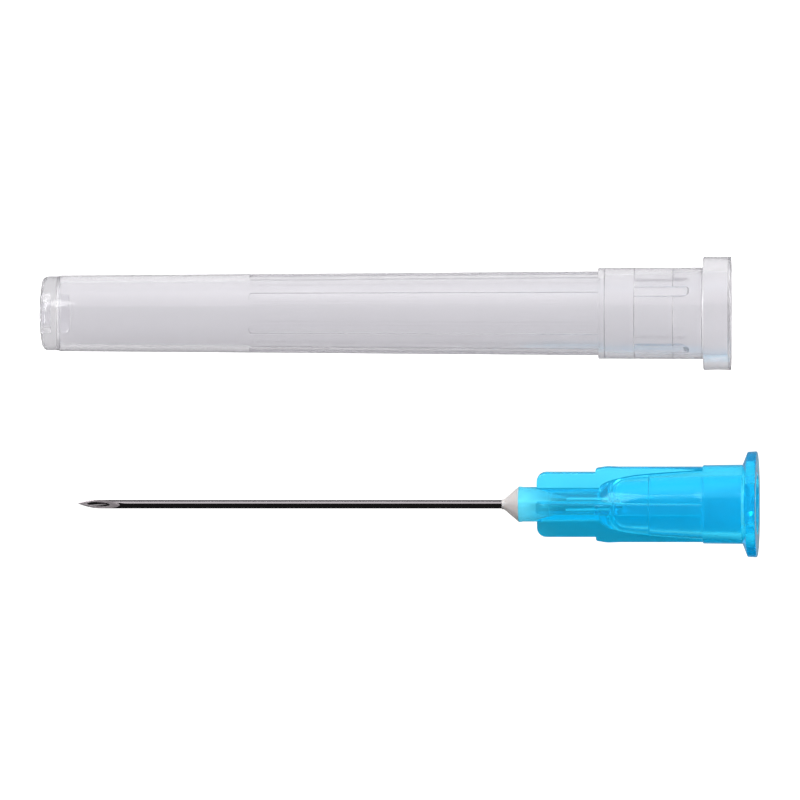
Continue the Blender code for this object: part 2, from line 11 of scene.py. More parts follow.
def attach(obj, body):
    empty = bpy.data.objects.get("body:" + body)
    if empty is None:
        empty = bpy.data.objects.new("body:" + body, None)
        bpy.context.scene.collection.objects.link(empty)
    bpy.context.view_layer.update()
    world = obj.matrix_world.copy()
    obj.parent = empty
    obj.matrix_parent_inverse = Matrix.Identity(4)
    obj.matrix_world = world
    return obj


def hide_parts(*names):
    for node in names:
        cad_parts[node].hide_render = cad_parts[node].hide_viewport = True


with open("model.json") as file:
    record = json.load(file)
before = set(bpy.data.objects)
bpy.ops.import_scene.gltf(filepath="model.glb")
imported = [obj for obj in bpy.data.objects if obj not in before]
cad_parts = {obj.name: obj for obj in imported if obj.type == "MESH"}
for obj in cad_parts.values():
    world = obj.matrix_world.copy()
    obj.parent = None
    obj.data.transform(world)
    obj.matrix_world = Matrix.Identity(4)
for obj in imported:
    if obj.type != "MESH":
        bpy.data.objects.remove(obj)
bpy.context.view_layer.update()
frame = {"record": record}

MM = 0.001

# Meshing, finer than the solids'
HUB_FACETS = 192
CAP_FACETS = 192
CANNULA_FACETS = 96
ADHESIVE_FACETS = 96
FLUTE_STEPS = 8
RIDGE_STEPS = 12
RING_SPACING = 0.7 * MM
CAP_RING_SPACING = 2.0 * MM
FILLET_STEPS = 5
FILLET_SHARE = 0.48  # of a side that one fillet may take
STRAIGHT = 0.01  # radians of a corner that needs no fillet
DOME_STEPS = 24
CROWN_STEPS = 8
RIB_NOSE_STEPS = 10
FLUTE_CORNER_STEPS = 6
FIN_EDGE_STEPS = 3
ROUND_PROFILE = 0.5
TENT_SEGMENTS = 48
ON_AXIS = 1e-7
SHARP_ANGLE = math.radians(30)
OVERSHOOT = 0.5 * MM  # how far a cutter runs past what it cuts
MOULD_EDGE = 0.05 * MM  # the small round on the mouldings' edges

# Cannula
CANNULA_RADIUS = 0.315 * MM
CANNULA_BORE_RADIUS = 0.165 * MM
CANNULA_REACH = 32.31 * MM  # from its point to the hub's front face
CANNULA_REAR = 7.38 * MM  # behind that face
BEVEL_LENGTH = 3.15 * MM
LANCET_LENGTH = 1.45 * MM
LANCET_TURN = math.radians(35)
POINT_THICKNESS = 0.01 * MM
POINT_ROLL = math.radians(11)
GROUND_LEAN = 0.1  # the least that a ground facet's normal leans forward

# Hub, from its nose to its rear
HUB_LENGTH = 17.43 * MM
NOSE_RADIUS = 1.27 * MM
NOSE_RIM_STAND = 0.03 * MM
NOSE_RIM_LENGTH = 0.22 * MM
NOSE_LENGTH = 5.9 * MM
DOME_LENGTH = 3.55 * MM
WELL_RADIUS = 0.99 * MM
WELL_FLOOR_RADIUS = 0.355 * MM
WELL_DEPTH = 3.5 * MM
BORE_RADIUS = 0.335 * MM
CHAMBER_FRONT = 6.64 * MM
CHAMBER_LENGTH = 2.92 * MM
CHAMBER_STEP = 0.19 * MM
CHAMBER_DRAFT = 0.1 * MM
CHAMBER_NOSE_RADIUS = 0.6 * MM
CHAMBER_DOME_LENGTH = 1.2 * MM
SOCKET_MOUTH_RADIUS = 2.15 * MM
SOCKET_TAPER = 0.06  # of diameter on length
SOCKET_LEAD_IN = 0.12 * MM
BODY_WALL_FRONT = 0.375 * MM
BODY_WALL_REAR = 0.535 * MM
COLLAR_LENGTH = 2.93 * MM
COLLAR_WALL = 0.715 * MM
COLLAR_DRAFT = 0.035 * MM

# Hub's flange
FLANGE_THICKNESS = 1.03 * MM
FLANGE_STAND = 0.98 * MM
FLANGE_FLAT_STAND = 0.625 * MM
FLANGE_FACE_STAND = 0.11 * MM
FLANGE_SLANT = 0.33 * MM
FLANGE_EDGE_DRAFT = 0.04 * MM

# Hub's fins
FIN_THICKNESS = 0.85 * MM
FIN_SETBACK = 1.31 * MM  # behind the hub's front face
FIN_STAND = 0.19 * MM  # beyond the body where it meets the collar
FIN_STEP_HEIGHT = 0.382 * MM
FIN_STEP_LEAD = 0.28 * MM  # ahead of the dome's foot
FIN_STEP_EASE = 0.1 * MM  # by which the step's top starts low
FIN_BUMP = 0.04 * MM
FIN_BUMP_LENGTH = 0.85 * MM  # of its rise, and of its fall
FIN_CORNER = 0.68 * MM
FIN_STEP_CORNER = 0.2 * MM
FIN_BUMP_FILLET = 2.0 * MM
FIN_ROLL = math.radians(9)
FIN_EDGE = 0.14 * MM  # round along both sides of a fin

# Adhesive
GLUE_BOND = 0.01 * MM  # by which it reaches into what it bonds
BEAD_CONE_LENGTH = 1.09 * MM
BEAD_TOE_LENGTH = 0.16 * MM
BEAD_TOE_THICKNESS = 0.025 * MM
BEAD_TOE_FILLET = 0.6 * MM
BEAD_EDGE_FILLET = 0.02 * MM
BEAD_WOBBLE = 0.02 * MM
BEAD_WOBBLE_LENGTH = 0.8 * MM

# Cap
CAP_LENGTH = 50.5 * MM
CAP_SHOULDER = 41.3 * MM
CAP_WALL = 0.5 * MM
CAP_END_WALL = 1.34 * MM
CAP_DRAFT = 0.0077  # of radius on length
CAP_NARROW_RADIUS = 3.074 * MM
CAP_WIDE_RADIUS = 3.35 * MM
CAP_END_CORNER = 0.5 * MM
CAP_END_CROWN = 0.26 * MM
CAP_END_RIM = 1.05 * MM  # straight part of the closed end's face, inside its rim
CAP_END_STEP = 0.054 * MM
CAP_END_BAND = 1.4 * MM
CAP_STEP_LENGTH = 0.18 * MM
CAP_WIDE_CORNER = 0.06 * MM
CAP_FLANGE_THICKNESS = 2.04 * MM
CAP_FLANGE_STAND = 0.8 * MM
CAP_FLANGE_WAIST = 0.03 * MM
CAP_FLANGE_CORNER = 0.12 * MM
CAP_NOSE_BORE = 2.574 * MM
CAP_FIN_BORE = 2.846 * MM
CAP_RIB_BORE = 2.906 * MM
CAP_COLLAR_BORE = 3.0 * MM
CAP_MOUTH_BORE = 3.08 * MM
CAP_MOUTH_LEAD_IN = 0.25 * MM
CAP_COLLAR_DEPTH = 4.2 * MM  # of the bore for the collar, from the mouth
CAP_COLLAR_LEAD = 0.54 * MM
CAP_COLLAR_LEAD_RISE = 0.03 * MM
CAP_BORE_STEP_RUN = 0.06 * MM  # over which a step of the bore slopes
GATE_RADIUS = 1.0 * MM
GATE_WALL = 0.41 * MM
GATE_BOSS_HEIGHT = 1.07 * MM
GATE_DEPTH = 0.95 * MM

# Cap's flutes outside and ribs inside
FLUTE_COUNT = 8
FLUTE_WIDTH = 0.84 * MM
FLUTE_DEPTH = 0.12 * MM
FLUTE_LENGTH = 25.4 * MM
FLUTE_CORNER = 0.22 * MM
FLUTE_EDGE = 0.03 * MM
RIB_COUNT = 4
RIB_ROLL = math.radians(32)
RIB_WIDTH = 0.72 * MM
RIB_SETBACK = 2.18 * MM  # behind the shoulder that stops the fins
RIB_LENGTH = 4.04 * MM
RIB_NOSE_LENGTH = 0.85 * MM
RIB_INNER_RADIUS = 2.666 * MM
RIB_EDGE = 0.06 * MM

# How far the record's mounts stand off the axes of the needle and the cap
HUB_MOUNT_OFFSET = 3.0 * MM
CAP_MOUNT_OFFSET = 3.7 * MM

# Places and radii that follow from these
DOME_END = NOSE_LENGTH + DOME_LENGTH
SOCKET_FLOOR = CHAMBER_FRONT + CHAMBER_LENGTH
FLANGE_FRONT = HUB_LENGTH - FLANGE_THICKNESS
COLLAR_FRONT = FLANGE_FRONT - COLLAR_LENGTH
FIN_STEP = NOSE_LENGTH - FIN_STEP_LEAD
SOCKET_SLOPE = SOCKET_TAPER / 2
SOCKET_FLOOR_RADIUS = SOCKET_MOUTH_RADIUS - SOCKET_SLOPE * (HUB_LENGTH - SOCKET_FLOOR)
CHAMBER_RADIUS = SOCKET_FLOOR_RADIUS - CHAMBER_STEP
CHAMBER_DOME_END = CHAMBER_FRONT + CHAMBER_DOME_LENGTH
BODY_FRONT_RADIUS = SOCKET_FLOOR_RADIUS + BODY_WALL_FRONT
SOCKET_RADIUS_AT_COLLAR = SOCKET_MOUTH_RADIUS - SOCKET_SLOPE * (HUB_LENGTH - COLLAR_FRONT)
BODY_REAR_RADIUS = SOCKET_RADIUS_AT_COLLAR + BODY_WALL_REAR
COLLAR_RADIUS = SOCKET_MOUTH_RADIUS + COLLAR_WALL
COLLAR_REAR_RADIUS = COLLAR_RADIUS + COLLAR_DRAFT
FLANGE_RADIUS = COLLAR_REAR_RADIUS + FLANGE_STAND
FLAT_DISTANCE = COLLAR_REAR_RADIUS + FLANGE_FLAT_STAND
FIN_RADIUS = BODY_REAR_RADIUS + FIN_STAND
FIN_FRONT_RADIUS = FIN_RADIUS - FIN_STEP_HEIGHT
CAP_WIDE_FRONT = CAP_SHOULDER - CAP_WALL
CAP_FLANGE_FRONT = CAP_LENGTH - CAP_FLANGE_THICKNESS
CAP_FLANGE_RADIUS = CAP_WIDE_RADIUS + CAP_FLANGE_STAND
CAP_COLLAR_FRONT = CAP_LENGTH - CAP_COLLAR_DEPTH
RIB_FRONT = CAP_SHOULDER + RIB_SETBACK
FLUTE_FRONT = CAP_WIDE_FRONT - FLUTE_LENGTH

# Camera
VIEW_CENTRE = Vector((0.0, 0.51 * MM, 0))
VIEW_WIDTH = 58.39 * MM
VIEW_LEVEL = 3.0 * MM  # height at which the picture is VIEW_WIDTH across
CAMERA_HEIGHT = 2.0
SENSOR_WIDTH = 36

# Floors: a white one that the camera sees, and one under each half that shows through the plastics
FLOOR_SIZE = 6.0
FLOOR_DROP = 0.02 * MM
FLOOR_ROUGHNESS = 0.9
WHITE_FLOOR_GREY = 0.85
WHITE_FLOOR_GLOW = 1.1
NEEDLE_FLOOR_GREY = 0.68
NEEDLE_FLOOR_GLOW = 0.02
CAP_FLOOR_GREY = 0.3
CAP_FLOOR_GLOW = 0.6

# Light. ROOM holds (degrees from straight up towards +Y, radiance) round the X axis
ROOM_PEAK = 1.3
ROOM_WALL = 0.3
ROOM_WALL_FOOT = 0.2
ROOM_DARK = 0.02
ROOM = (
    (-180, ROOM_WALL),
    (-155, ROOM_WALL),
    (-150, ROOM_DARK),
    (18, ROOM_DARK),
    (24, ROOM_PEAK),
    (60, ROOM_PEAK),
    (76, ROOM_WALL),
    (150, ROOM_WALL_FOOT),
    (155, ROOM_WALL),
    (180, ROOM_WALL),
)
SOFTBOX_TILT = math.radians(48)  # from straight up
SOFTBOX_TURNS = (math.radians(55), math.radians(-55))  # from +Y about the vertical
SOFTBOX_DISTANCE = 1.2
SOFTBOX_SIZE = 0.8
SOFTBOX_RADIANCE = 5.2
TENT_RADIUS = 2.6
TENT_GLOW = 0.7

# Noise that varies the materials, in cells for each metre
NOISE_DETAIL = 3
NOISE_SPAN = (0.3, 0.7)  # where most of its values lie
FLOW_STRETCH = 12
FLOW_SCALE = 900
FLOW_SPREAD = (0.8, 1.2)  # of the roughness
LINE_SPREAD = (0.8, 1.3)  # of the roughness
GRAIN_SCALE = 5000

# Steel
STEEL_BUMP = 0.002 * MM
STEEL_BUMP_STRENGTH = 0.4
TUBE_COLOUR = (0.4, 0.37, 0.385)
TUBE_METALLIC = 1.0
TUBE_ROUGHNESS = 0.09
TUBE_LINE_STRETCH = 50
TUBE_LINE_SCALE = 9000
GROUND_COLOUR = (0.4, 0.36, 0.38)
GROUND_METALLIC = 0.5
GROUND_ROUGHNESS = 0.4
GROUND_LINE_STRETCH = 0.3
GROUND_LINE_SCALE = 6000

# Resin of the bead, and of the well, which is milky at the front and clear at its bottom; the well's resin
# has a painted white glow that is strongest at its front and fades out towards the bottom
RESIN_COLOUR = (0.56, 0.53, 0.525)
RESIN_ROUGHNESS = (0.35, 0.5)
RESIN_BUMP_STRENGTH = 0.3
RESIN_SUBSURFACE = 0.4
RESIN_SUBSURFACE_RADIUS = (1.0, 0.8, 0.7)
RESIN_SUBSURFACE_SCALE = 0.4 * MM
WELL_COLOUR = (1.0, 1.0, 1.0)
WELL_ROUGHNESS = 0.15
WELL_TRANSMISSION = (0.1, 0.95)
WELL_PAINTED_GLOW = (0.16, 0.0)
WELL_SPAN = (0.1 * MM, 3.0 * MM)

# Plastics. GLOSS tints what they mirror. Where they are thick they take on THICK_COLOUR, the more
# the higher DENSITY is. The last colour of each plastic is a faint painted glow, a light of their own that
# stands in for what they scatter
PLASTIC_IOR = 1.49
PLASTIC_BUMP = 0.0015 * MM
PLASTIC_BUMP_STRENGTH = 0.2
HUB_COLOUR = (0.15, 0.74, 0.92)
HUB_TRANSMISSION = 0.96
HUB_ROUGHNESS = 0.11
HUB_THICK_COLOUR = (0.3, 0.9, 0.97)
HUB_DENSITY = 700
HUB_GLOSS = (0.3, 0.9, 1.0)
HUB_PAINTED_GLOW = (0.0, 0.062, 0.092)
CAP_COLOUR = (0.825, 0.8175, 0.8375)
CAP_TRANSMISSION = 0.93
CAP_ROUGHNESS = 0.14
CAP_THICK_COLOUR = (0.9, 0.9, 0.9)
CAP_DENSITY = 100
CAP_GLOSS = (1.0, 1.0, 1.0)
CAP_PAINTED_GLOW = (0.039, 0.038, 0.0415)


def rounded(corners):
    """The points of an outline whose corners are (x, y, fillet radius), each fillet an arc.

    A fillet shrinks where the sides that meet at its corner are too short for it.
    """
    points = []
    for i, (x, y, fillet) in enumerate(corners):
        corner = Vector((x, y))
        before = Vector(corners[i - 1][:2]) - corner
        after = Vector(corners[(i + 1) % len(corners)][:2]) - corner
        turn = before.angle(after) if fillet else math.pi
        if math.pi - turn < STRAIGHT:
            points.append((x, y))
            continue
        half = turn / 2
        reach = min(fillet / math.tan(half), FILLET_SHARE * before.length, FILLET_SHARE * after.length)
        middle = (before.normalized() + after.normalized()).normalized()
        centre = corner + middle * reach / math.cos(half)
        start = corner + before.normalized() * reach - centre
        end = corner + after.normalized() * reach - centre
        sweep = start.angle_signed(end)
        for step in range(FILLET_STEPS + 1):
            arm = start.copy()
            arm.rotate(Matrix.Rotation(-sweep * step / FILLET_STEPS, 2))
            points.append(tuple(centre + arm))
    return points


def divided(outline, spacing):
    """The outline with points added so that no side is longer than spacing."""
    closed = outline[0][0] > ON_AXIS or outline[-1][0] > ON_AXIS
    points = []
    for start, end in zip(outline, outline[1:] + outline[:1]):
        points.append(start)
        if start is outline[-1] and not closed:
            break
        count = max(1, math.ceil(math.dist(start, end) / spacing))
        for step in range(1, count):
            share = step / count
            points.append(tuple(a + (b - a) * share for a, b in zip(start, end)))
    return points


def new_object(name, bm):
    """An object in the scene with this mesh, its faces turned outwards."""
    bmesh.ops.recalc_face_normals(bm, faces=bm.faces)
    mesh = bpy.data.meshes.new(name)
    bm.to_mesh(mesh)
    bm.free()
    obj = bpy.data.objects.new(name, mesh)
    bpy.context.scene.collection.objects.link(obj)
    return obj


def circle(radius, z, facets):
    """The points of a ring round Z."""
    turns = [2 * math.pi * i / facets for i in range(facets)]
    return [(radius * math.cos(turn), radius * math.sin(turn), z) for turn in turns]


def lathed(name, corners, facets, spacing=RING_SPACING, ring=circle):
    """A closed mesh round Z from (radius, z, fillet) corners, whose rings are circles or as given."""
    bm = bmesh.new()
    outline = divided(rounded(corners), spacing)
    rings = []
    for radius, z in outline:
        if radius < ON_AXIS:
            rings.append([bm.verts.new((0, 0, z))] * facets)
        else:
            rings.append([bm.verts.new(point) for point in ring(radius, z, facets)])
    pairs = list(zip(rings, rings[1:]))
    if outline[0][0] > ON_AXIS or outline[-1][0] > ON_AXIS:
        pairs.append((rings[-1], rings[0]))
    for first, second in pairs:
        for i in range(facets):
            face = dict.fromkeys([first[i - 1], first[i], second[i], second[i - 1]])
            if len(face) > 2:
                bm.faces.new(face)
    return new_object(name, bm)


def slab(name, outline, thickness, edge):
    """A flat plate from (x, z) points, its thickness shared to both sides of y = 0 and its rims rounded."""
    bm = bmesh.new()
    face = bm.faces.new([bm.verts.new((x, -thickness / 2, z)) for x, z in outline])
    extruded = bmesh.ops.extrude_face_region(bm, geom=[face])["geom"]
    far = [item for item in extruded if isinstance(item, bmesh.types.BMVert)]
    bmesh.ops.translate(bm, verts=far, vec=(0, thickness, 0))
    rims = [e for e in bm.edges if e.verts[0].co.y * e.verts[1].co.y > 0]
    bmesh.ops.bevel(
        bm,
        geom=rims,
        offset=edge,
        offset_type="OFFSET",
        segments=FIN_EDGE_STEPS,
        profile=ROUND_PROFILE,
        affect="EDGES",
    )
    return new_object(name, bm)


def block(name, size, matrix):
    """A box of the given size, centred in the matrix's own space."""
    bm = bmesh.new()
    bmesh.ops.create_cube(bm, size=1, matrix=matrix @ Matrix.Diagonal((*size, 1)))
    return new_object(name, bm)


def combine(obj, operation, *others):
    """Cuts others from the object, or joins them to it, and keeps only the result."""
    for other in others:
        boolean = obj.modifiers.new(other.name, "BOOLEAN")
        boolean.operation = operation
        boolean.solver = "EXACT"
        boolean.object = other
    graph = bpy.context.evaluated_depsgraph_get()
    mesh = bpy.data.meshes.new_from_object(obj.evaluated_get(graph), depsgraph=graph)
    obj.modifiers.clear()
    obj.data = mesh
    for other in others:
        bpy.data.objects.remove(other)


def smooth(obj):
    """Shades the piece smooth, save for its sharp edges."""
    obj.data.shade_smooth()
    obj.data.set_sharp_from_angle(angle=SHARP_ANGLE)


def drafted(start, end, start_radius, end_radius):
    """The radius at any z of a straight draft between two places."""
    slope = (end_radius - start_radius) / (end - start)
    return lambda z: start_radius + slope * (z - start)


def dome(front, rear, front_radius, radius_at):
    """Corners of a rounded end, from its rear, where it runs on from the draft, to its front."""
    corners = []
    for step in range(DOME_STEPS + 1):
        angle = math.pi / 2 * step / DOME_STEPS
        z = rear - (rear - front) * math.sin(angle)
        corners.append((front_radius + (radius_at(z) - front_radius) * math.cos(angle), z, 0))
    return corners


def make_hub_blank():
    """The solid body, from the flange at the rear to the nose at the front."""
    body_radius = drafted(SOCKET_FLOOR, COLLAR_FRONT, BODY_FRONT_RADIUS, BODY_REAR_RADIUS)
    corners = [
        (0, HUB_LENGTH, 0),
        (FLANGE_RADIUS, HUB_LENGTH, 2 * MOULD_EDGE),
        (FLANGE_RADIUS - FLANGE_EDGE_DRAFT, FLANGE_FRONT + FLANGE_SLANT, 2 * MOULD_EDGE),
        (COLLAR_REAR_RADIUS + FLANGE_FACE_STAND, FLANGE_FRONT, MOULD_EDGE),
        (COLLAR_REAR_RADIUS, FLANGE_FRONT, MOULD_EDGE),
        (COLLAR_RADIUS, COLLAR_FRONT, MOULD_EDGE),
        (BODY_REAR_RADIUS, COLLAR_FRONT, MOULD_EDGE),
        *dome(NOSE_LENGTH, DOME_END, NOSE_RADIUS, body_radius),
        (NOSE_RADIUS, NOSE_RIM_LENGTH, 0),
        (NOSE_RADIUS + NOSE_RIM_STAND, NOSE_RIM_LENGTH, 0),
        (NOSE_RADIUS + NOSE_RIM_STAND, 0, 0),
        (0, 0, 0),
    ]
    return lathed("blue_hub", corners, HUB_FACETS)


def fin_pair(name, roll):
    """One plate through the axis, whose two ends are opposite fins."""
    bump = FIN_STEP + FIN_BUMP_LENGTH
    rear = COLLAR_FRONT + COLLAR_LENGTH / 2
    side = [
        (FIN_FRONT_RADIUS, FIN_SETBACK, FIN_CORNER),
        (FIN_FRONT_RADIUS, FIN_STEP, 0),
        (FIN_RADIUS - FIN_STEP_EASE, FIN_STEP, FIN_STEP_CORNER),
        (FIN_RADIUS + FIN_BUMP, bump, FIN_BUMP_FILLET),
        (FIN_RADIUS, bump + FIN_BUMP_LENGTH, 0),
        (FIN_RADIUS, rear, 0),
    ]
    mirrored = [(-x, z, fillet) for x, z, fillet in reversed(side)]
    fins = slab(name, rounded(side + mirrored), FIN_THICKNESS, FIN_EDGE)
    fins.rotation_euler.z = roll
    return fins


def flat_block(name, side):
    """Cuts the flange to a flat on one side."""
    height = FLANGE_RADIUS - FLAT_DISTANCE + OVERSHOOT
    length = FLANGE_THICKNESS + OVERSHOOT
    centre = Vector((side * (FLAT_DISTANCE + height / 2), 0, FLANGE_FRONT + length / 2))
    size = (height, 2 * FLANGE_RADIUS + OVERSHOOT, length)
    return block(name, size, Matrix.Translation(centre))


def hub_hollow():
    """Socket, chamber, cannula bore and the well for the adhesive."""
    mouth = HUB_LENGTH - SOCKET_LEAD_IN
    chamber_radius = drafted(CHAMBER_FRONT, SOCKET_FLOOR, CHAMBER_RADIUS - CHAMBER_DRAFT, CHAMBER_RADIUS)
    corners = [
        (0, HUB_LENGTH + OVERSHOOT, 0),
        (SOCKET_MOUTH_RADIUS + SOCKET_LEAD_IN + OVERSHOOT, HUB_LENGTH + OVERSHOOT, 0),
        (SOCKET_MOUTH_RADIUS, mouth, MOULD_EDGE),
        (SOCKET_FLOOR_RADIUS, SOCKET_FLOOR, MOULD_EDGE),
        (CHAMBER_RADIUS, SOCKET_FLOOR, MOULD_EDGE),
        *dome(CHAMBER_FRONT, CHAMBER_DOME_END, CHAMBER_NOSE_RADIUS, chamber_radius),
        (BORE_RADIUS, CHAMBER_FRONT, 0),
        (BORE_RADIUS, WELL_DEPTH, 0),
        (WELL_FLOOR_RADIUS, WELL_DEPTH, 0),
        (WELL_RADIUS, 0, 0),
        (WELL_RADIUS, -OVERSHOOT, 0),
        (0, -OVERSHOOT, 0),
    ]
    return lathed("hub_hollow", corners, HUB_FACETS)


def make_hub():
    hub = make_hub_blank()
    combine(hub, "UNION", fin_pair("upright_fins", FIN_ROLL))
    combine(hub, "UNION", fin_pair("level_fins", FIN_ROLL + math.pi / 2))
    combine(hub, "DIFFERENCE", flat_block("upper_flat", -1), flat_block("lower_flat", 1), hub_hollow())
    smooth(hub)
    return hub


def grinding_block(name, turn, slope):
    """A block whose face grinds one facet of the point."""
    across = Vector((math.cos(turn), math.sin(turn), 1 / slope)).normalized()
    edge = Vector((CANNULA_RADIUS - POINT_THICKNESS, 0, -CANNULA_REACH))
    size = 2 * BEVEL_LENGTH
    matrix = (
        Matrix.Rotation(POINT_ROLL, 4, "Z")
        @ Matrix.Translation(edge)
        @ (-across).to_track_quat("Z", "Y").to_matrix().to_4x4()
        @ Matrix.Translation((0, 0, size / 2))
    )
    return block(name, (size, size, size), matrix)


def make_cannula(drawn, ground):
    """A steel tube with a main bevel and two lancet facets ground into its point."""
    corners = [
        (CANNULA_BORE_RADIUS, CANNULA_REAR, 0),
        (CANNULA_RADIUS, CANNULA_REAR, 0),
        (CANNULA_RADIUS, -CANNULA_REACH, 0),
        (CANNULA_BORE_RADIUS, -CANNULA_REACH, 0),
    ]
    cannula = lathed("steel_cannula", corners, CANNULA_FACETS)
    width = 2 * CANNULA_RADIUS
    bevel_slope = BEVEL_LENGTH / width
    drop = width * LANCET_LENGTH / BEVEL_LENGTH
    side = math.sqrt(max(CANNULA_RADIUS**2 - (CANNULA_RADIUS - drop) ** 2, 0))
    lancet_slope = LANCET_LENGTH / (drop * math.cos(LANCET_TURN) + side * math.sin(LANCET_TURN))
    combine(
        cannula,
        "DIFFERENCE",
        grinding_block("bevel_block", 0, bevel_slope),
        grinding_block("left_lancet_block", LANCET_TURN, lancet_slope),
        grinding_block("right_lancet_block", -LANCET_TURN, lancet_slope),
    )
    cannula.data.materials.append(drawn)
    cannula.data.materials.append(ground)
    for face in cannula.data.polygons:
        face.material_index = int(face.normal.z < -GROUND_LEAN)
    smooth(cannula)
    return cannula


def make_adhesive():
    """The plug bonded into the well, and the bead that runs from the nose down to the cannula."""
    toe_radius = BORE_RADIUS + BEAD_TOE_THICKNESS
    inner = CANNULA_RADIUS - GLUE_BOND
    well = WELL_RADIUS + GLUE_BOND
    corners = [
        (inner, WELL_DEPTH, 0),
        (WELL_FLOOR_RADIUS + GLUE_BOND, WELL_DEPTH, 0),
        (well, 0, 0),
        (NOSE_RADIUS + NOSE_RIM_STAND, 0, BEAD_EDGE_FILLET),
        (toe_radius, -BEAD_CONE_LENGTH, BEAD_TOE_FILLET),
        (toe_radius, -BEAD_CONE_LENGTH - BEAD_TOE_LENGTH, 0),
        (inner, -BEAD_CONE_LENGTH - BEAD_TOE_LENGTH, 0),
    ]
    adhesive = lathed("adhesive_bead", corners, ADHESIVE_FACETS, BEAD_TOE_LENGTH)
    for vertex in adhesive.data.vertices:
        radius = Vector(vertex.co[:2]).length
        if vertex.co.z < 0 and radius > CANNULA_RADIUS:
            inside = min(1, -vertex.co.z / BEAD_TOE_LENGTH)
            wobble = BEAD_WOBBLE * inside * noise.noise(vertex.co / BEAD_WOBBLE_LENGTH)
            vertex.co.xy *= 1 + wobble / radius
    smooth(adhesive)
    return adhesive


def cap_radius(z):
    """The outer radius of the cap's narrow, drafted length."""
    return CAP_NARROW_RADIUS - CAP_DRAFT * (CAP_WIDE_FRONT - z)


def crown():
    """Corners of the closed end's slightly domed face, from its rim to the moulding gate's recess."""
    rim = cap_radius(0) - CAP_END_STEP
    inside = rim - CAP_END_RIM
    steps = range(CROWN_STEPS + 1)
    radii = [rim] + [inside + (GATE_RADIUS - inside) * step / CROWN_STEPS for step in steps]
    corners = [(radius, CAP_END_CROWN * (radius / rim) ** 2, 0) for radius in radii]
    corners[0] = (*corners[0][:2], CAP_END_CORNER)
    corners[-1] = (*corners[-1][:2], MOULD_EDGE)
    return corners


def flute_half_width(z):
    """Half of a flute's width, which is narrower between its round front corners."""
    inside = FLUTE_CORNER - min(max(z - FLUTE_FRONT, 0), FLUTE_CORNER)
    return FLUTE_WIDTH / 2 - FLUTE_CORNER + math.sqrt(FLUTE_CORNER**2 - inside**2)


def flute_section(z):
    """The (out, across) points of half a flute at z, from its middle past its wall.

    The wall's foot and its top are eased by parts of FLUTE_EDGE. In front of the flute the same
    points lie on the round surface.
    """
    half = flute_half_width(z)
    outer = cap_radius(z)
    depth = FLUTE_DEPTH if z >= FLUTE_FRONT else 0
    flat = [(outer - depth, (half - FLUTE_EDGE) * i / FLUTE_STEPS) for i in range(FLUTE_STEPS + 1)]
    wall_top = math.sqrt(outer**2 - half**2)
    wall = [
        (outer - depth + FLUTE_EDGE / 3, half - FLUTE_EDGE / 3),
        (wall_top - FLUTE_EDGE / 2, half),
        (wall_top - FLUTE_EDGE / 8, half + FLUTE_EDGE / 3),
    ]
    ridge = [(math.sqrt(outer**2 - (half + FLUTE_EDGE) ** 2), half + FLUTE_EDGE)]
    if depth:
        return flat + wall + ridge
    return [(math.sqrt(outer**2 - across**2), across) for _, across in flat + wall + ridge]


def fluted_ring(radius, z, facets):
    """A ring of the narrow length: flutes with their walls, and round ridges between them."""
    ring = []
    sector = 2 * math.pi / FLUTE_COUNT
    section = flute_section(max(z, FLUTE_FRONT - FLUTE_EDGE))
    half_turn = [(math.hypot(out, across), math.atan2(across, out)) for out, across in section]
    ridge, edge = half_turn[-1]
    for step in range(1, RIDGE_STEPS + 1):
        half_turn.append((ridge, edge + (sector / 2 - edge) * step / RIDGE_STEPS))
    whole_turn = [(distance, -turn) for distance, turn in half_turn[-2:0:-1]] + half_turn
    for index in range(FLUTE_COUNT):
        middle = sector * (index + 0.5)
        for distance, turn in whole_turn:
            out = distance if z >= FLUTE_FRONT - FLUTE_EDGE else radius
            ring.append((out * math.cos(middle + turn), out * math.sin(middle + turn), z))
    return ring


def make_cap_blank():
    """The narrow length as a solid, fluted outside, with the moulding gate's recess in its closed end."""
    inside = CAP_WIDE_FRONT + CAP_WALL / 2
    step_end = CAP_END_BAND + CAP_STEP_LENGTH
    corner_rings = [
        FLUTE_FRONT + FLUTE_CORNER * (1 - math.cos(math.pi / 2 * step / FLUTE_CORNER_STEPS))
        for step in range(FLUTE_CORNER_STEPS, -1, -1)
    ]
    corners = [
        (0, inside, 0),
        (cap_radius(inside), inside, 0),
        *((cap_radius(z), z, 0) for z in corner_rings),
        (cap_radius(FLUTE_FRONT - FLUTE_EDGE), FLUTE_FRONT - FLUTE_EDGE, 0),
        (cap_radius(step_end), step_end, 0),
        (cap_radius(CAP_END_BAND) - CAP_END_STEP, CAP_END_BAND, 0),
        *crown(),
        (GATE_RADIUS, GATE_DEPTH, MOULD_EDGE),
        (0, GATE_DEPTH, 0),
    ]
    facets = len(fluted_ring(CAP_NARROW_RADIUS, FLUTE_FRONT, 0))
    return lathed("clear_cap", corners, facets, CAP_RING_SPACING, fluted_ring)


def wide_part():
    """The wide length and the mouth flange as a solid."""
    flange_middle = CAP_FLANGE_FRONT + CAP_FLANGE_THICKNESS / 2
    corners = [
        (0, CAP_LENGTH, 0),
        (CAP_FLANGE_RADIUS, CAP_LENGTH, CAP_FLANGE_CORNER / 2),
        (CAP_FLANGE_RADIUS - CAP_FLANGE_WAIST, flange_middle, 0),
        (CAP_FLANGE_RADIUS, CAP_FLANGE_FRONT, CAP_FLANGE_CORNER),
        (CAP_WIDE_RADIUS, CAP_FLANGE_FRONT, MOULD_EDGE),
        (CAP_WIDE_RADIUS - CAP_FLANGE_WAIST, CAP_WIDE_FRONT, CAP_WIDE_CORNER),
        (0, CAP_WIDE_FRONT, 0),
    ]
    return lathed("wide_part", corners, CAP_FACETS, CAP_RING_SPACING)


